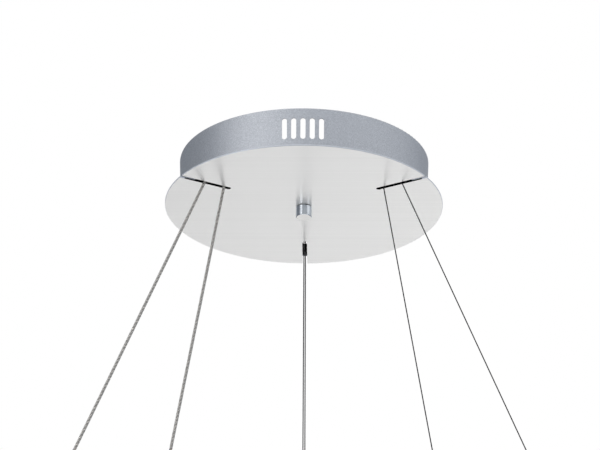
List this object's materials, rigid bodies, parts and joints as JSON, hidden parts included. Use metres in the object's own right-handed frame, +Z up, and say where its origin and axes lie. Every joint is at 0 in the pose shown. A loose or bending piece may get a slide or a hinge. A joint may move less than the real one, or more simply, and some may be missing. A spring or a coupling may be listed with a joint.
{
  "type": "ring chandelier ceiling canopy",
  "caption": "Round ceiling canopy of a ring chandelier: vented silver drum, slotted satin steel cover on a cap nut, drivers inside, and taut suspension wires and power cables below.",
  "frame": {"origin": "middle of the ceiling face, where the ceiling bar lies against the ceiling", "axes": "+Z up into the ceiling, -Y towards the room and the front vents, +X to the right as seen from there"},
  "size_m": [0.4861, 0.4285, 0.4226],
  "materials": {
    "silver_paint": "metallic silver paint with a fine grain",
    "satin_steel": "satin brushed",
    "bright_chrome": "bright satin chrome",
    "black_coat": "matt black coating",
    "zinc_steel": "bright zinc plate",
    "steel_rope": "stranded steel",
    "cable_jacket": "clear jacket over twisted tinned cores",
    "white_plastic": "moulded white plastic",
    "dark_nylon": "dark grey nylon",
    "brass": "plain brass"
  },
  "bodies": {
    "canopy": {"drum_band": "silver_paint", "chassis_tray": "black_coat", "ceiling_bar": "zinc_steel", "hanger_studs": "zinc_steel", "hanger_washers": "zinc_steel", "hanger_nuts": "zinc_steel", "cover_stud": "zinc_steel", "cover_stud_nuts": "zinc_steel", "anchor_channel_left": "black_coat", "anchor_channel_right": "black_coat", "anchor_channel_far": "black_coat", "channel_rivets": "zinc_steel", "anchor_pins": "zinc_steel", "pin_clips": "zinc_steel", "driver_left_case": "white_plastic", "driver_left_caps": "white_plastic", "driver_right_case": "white_plastic", "driver_right_caps": "white_plastic", "driver_screws": "zinc_steel", "terminal_block": "white_plastic", "terminal_screws": "brass", "block_screws": "zinc_steel", "cord_clamp": "white_plastic", "clamp_screws": "zinc_steel", "earth_screw": "brass", "earth_nut": "brass"},
    "cover": {"cover_disc": "satin_steel", "cover_washer": "dark_nylon"},
    "cap_nut": {"cap_nut": "bright_chrome"},
    "line_left_outer": {"eye_left_outer": "zinc_steel", "cable_left_outer": "cable_jacket", "fitting_left_outer": "bright_chrome"},
    "line_left_inner": {"eye_left_inner": "zinc_steel", "cable_left_inner": "cable_jacket", "fitting_left_inner": "bright_chrome"},
    "line_right_outer": {"eye_right_outer": "zinc_steel", "wire_right_outer": "steel_rope", "fitting_right_outer": "bright_chrome"},
    "line_right_inner": {"eye_right_inner": "zinc_steel", "wire_right_inner": "steel_rope", "fitting_right_inner": "bright_chrome"},
    "line_far_outer": {"eye_far_outer": "zinc_steel", "wire_far_outer": "steel_rope", "fitting_far_outer": "bright_chrome"},
    "line_far_inner": {"eye_far_inner": "zinc_steel", "wire_far_inner": "steel_rope", "fitting_far_inner": "bright_chrome"}
  },
  "joints": [
    {"name": "cover_drop", "type": "slide", "parent": "canopy", "child": "cover", "axis": [0, 0, -1], "range_m": [0, 0.008]},
    {"name": "nut_turn", "type": "hinge", "parent": "cover", "child": "cap_nut", "pos_m": [0, 0, -0.0583], "axis": [0, 0, -1], "range_deg": [0, 2880]},
    {"name": "swing_left_outer", "type": "hinge", "parent": "canopy", "child": "line_left_outer", "pos_m": [-0.09567, -0.05524, -0.026], "axis": [-0.5, 0.866, 0], "range_deg": [-6.5, 7]},
    {"name": "swing_left_inner", "type": "hinge", "parent": "canopy", "child": "line_left_inner", "pos_m": [-0.08124, -0.04691, -0.026], "axis": [-0.5, 0.866, 0], "range_deg": [-10.2, 5.3]},
    {"name": "swing_right_outer", "type": "hinge", "parent": "canopy", "child": "line_right_outer", "pos_m": [0.09567, -0.05524, -0.026], "axis": [-0.5, -0.866, 0], "range_deg": [-6.5, 7]},
    {"name": "swing_right_inner", "type": "hinge", "parent": "canopy", "child": "line_right_inner", "pos_m": [0.08124, -0.04691, -0.026], "axis": [-0.5, -0.866, 0], "range_deg": [-10.2, 5.3]},
    {"name": "swing_far_outer", "type": "hinge", "parent": "canopy", "child": "line_far_outer", "pos_m": [0, 0.11048, -0.026], "axis": [1, 0, 0], "range_deg": [-6.5, 7]},
    {"name": "swing_far_inner", "type": "hinge", "parent": "canopy", "child": "line_far_inner", "pos_m": [0, 0.09381, -0.026], "axis": [1, 0, 0], "range_deg": [-10.2, 5.3]}
  ],
  "couplings": [
    {"joint": "nut_turn", "follows": "cover_drop", "rad_per_m": 6283.2}
  ]
}
